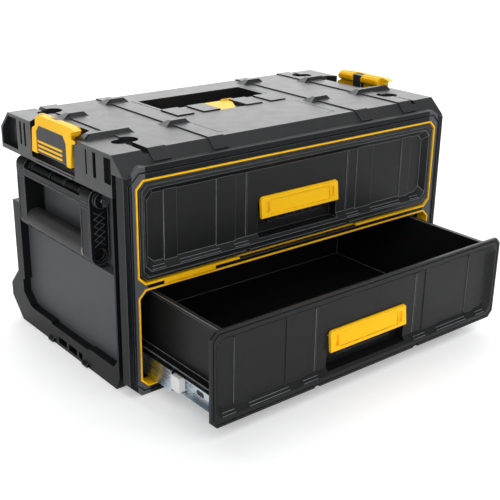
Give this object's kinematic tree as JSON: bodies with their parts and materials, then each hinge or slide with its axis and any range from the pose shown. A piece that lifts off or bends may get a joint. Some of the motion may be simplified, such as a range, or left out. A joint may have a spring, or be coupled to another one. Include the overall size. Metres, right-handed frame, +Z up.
{
  "type": "stackable drawer tool box",
  "caption": "Stackable tool box with full-width drawers on telescopic slides, sprung side latches, fold-out side handles and a cleated top deck.",
  "frame": {"origin": "middle of the case's footprint on its flat underside", "axes": "+Z up, -Y towards the drawer fronts, +X to the right of someone facing them"},
  "size_m": [0.5588, 0.4634, 0.323],
  "materials": {
    "case_plastic": "fine-grained black polypropylene",
    "deck_plastic": "fine-grained black polypropylene with a satin sheen",
    "drawer_plastic": "fine-grained black polypropylene",
    "handle_plastic": "satin black polypropylene",
    "grip_rubber": "soft textured overmould",
    "yellow_plastic": "semi-gloss yellow",
    "label_plastic": "satin dark grey inlay",
    "zinc_steel": "bluish zinc plate",
    "white_plastic": "natural white nylon"
  },
  "bodies": {
    "case": {"case_shell": "case_plastic", "divider_shelf": "case_plastic", "front_bezel": "case_plastic", "lower_trim_ring": "yellow_plastic", "upper_trim_ring": "yellow_plastic", "top_deck": "deck_plastic", "lower_left_cabinet_slide": "zinc_steel", "lower_right_cabinet_slide": "zinc_steel", "upper_left_cabinet_slide": "zinc_steel", "upper_right_cabinet_slide": "zinc_steel", "left_latch_pin": "zinc_steel", "left_latch_spring": "zinc_steel", "left_handle_pin": "zinc_steel", "right_latch_pin": "zinc_steel", "right_latch_spring": "zinc_steel", "right_handle_pin": "zinc_steel"},
    "lower_drawer": {"lower_drawer_front": "drawer_plastic", "lower_drawer_tub": "drawer_plastic", "lower_pull": "yellow_plastic", "lower_release_pin": "zinc_steel", "lower_release_spring": "zinc_steel", "lower_left_drawer_slide": "zinc_steel", "lower_right_drawer_slide": "zinc_steel"},
    "lower_rails": {"lower_left_middle_slide": "zinc_steel", "lower_left_rail_stop": "white_plastic", "lower_right_middle_slide": "zinc_steel", "lower_right_rail_stop": "white_plastic"},
    "lower_release": {"lower_release_lever": "handle_plastic"},
    "upper_drawer": {"upper_drawer_front": "drawer_plastic", "upper_drawer_tub": "drawer_plastic", "upper_pull": "yellow_plastic", "upper_release_pin": "zinc_steel", "upper_release_spring": "zinc_steel", "upper_left_drawer_slide": "zinc_steel", "upper_right_drawer_slide": "zinc_steel"},
    "upper_rails": {"upper_left_middle_slide": "zinc_steel", "upper_left_rail_stop": "white_plastic", "upper_right_middle_slide": "zinc_steel", "upper_right_rail_stop": "white_plastic"},
    "upper_release": {"upper_release_lever": "handle_plastic"},
    "left_latch_body": {"left_latch": "yellow_plastic", "left_latch_label": "label_plastic"},
    "left_handle": {"left_handle_frame": "handle_plastic", "left_handle_grip": "grip_rubber"},
    "right_latch_body": {"right_latch": "yellow_plastic", "right_latch_label": "label_plastic"},
    "right_handle": {"right_handle_frame": "handle_plastic", "right_handle_grip": "grip_rubber"},
    "lock_plate": {"lock_slider": "yellow_plastic"}
  },
  "joints": [
    {"name": "lower_drawer_slide", "type": "slide", "parent": "case", "child": "lower_drawer", "axis": [0, -1, 0], "range_m": [-0.1396, 0.1404]},
    {"name": "lower_rails_slide", "type": "slide", "parent": "case", "child": "lower_rails", "axis": [0, -1, 0], "range_m": [-0.0698, 0.0702]},
    {"name": "lower_release_hinge", "type": "hinge", "parent": "lower_drawer", "child": "lower_release", "pos_m": [0, -0.2851, 0.074], "axis": [-1, 0, 0], "range_deg": [0, 12], "stiffness_Nm_per_rad": 0.6, "springref_deg": -5.73},
    {"name": "upper_drawer_slide", "type": "slide", "parent": "case", "child": "upper_drawer", "axis": [0, -1, 0], "range_m": [0, 0.28]},
    {"name": "upper_rails_slide", "type": "slide", "parent": "case", "child": "upper_rails", "axis": [0, -1, 0], "range_m": [0, 0.14]},
    {"name": "upper_release_hinge", "type": "hinge", "parent": "upper_drawer", "child": "upper_release", "pos_m": [0, -0.1455, 0.2117], "axis": [-1, 0, 0], "range_deg": [0, 12], "stiffness_Nm_per_rad": 0.6, "springref_deg": -5.73},
    {"name": "left_latch_hinge", "type": "hinge", "parent": "case", "child": "left_latch_body", "pos_m": [-0.27, 0.01, 0.2775], "axis": [0, -1, 0], "range_deg": [0, 20], "stiffness_Nm_per_rad": 1, "springref_deg": -8.59},
    {"name": "left_handle_hinge", "type": "hinge", "parent": "case", "child": "left_handle", "pos_m": [-0.2653, 0.0145, 0.24], "axis": [0, 1, 0], "range_deg": [0, 95]},
    {"name": "right_latch_hinge", "type": "hinge", "parent": "case", "child": "right_latch_body", "pos_m": [0.27, 0.01, 0.2775], "axis": [0, 1, 0], "range_deg": [0, 20], "stiffness_Nm_per_rad": 1, "springref_deg": -8.59},
    {"name": "right_handle_hinge", "type": "hinge", "parent": "case", "child": "right_handle", "pos_m": [0.2653, 0.0145, 0.24], "axis": [0, -1, 0], "range_deg": [0, 95]},
    {"name": "lock_slider_slide", "type": "slide", "parent": "case", "child": "lock_plate", "axis": [0, 1, 0], "range_m": [0, 0.008], "stiffness_N_per_m": 300, "springref_m": -0.004}
  ],
  "couplings": [
    {"joint": "lower_rails_slide", "follows": "lower_drawer_slide", "ratio": 0.5},
    {"joint": "upper_rails_slide", "follows": "upper_drawer_slide", "ratio": 0.5}
  ]
}
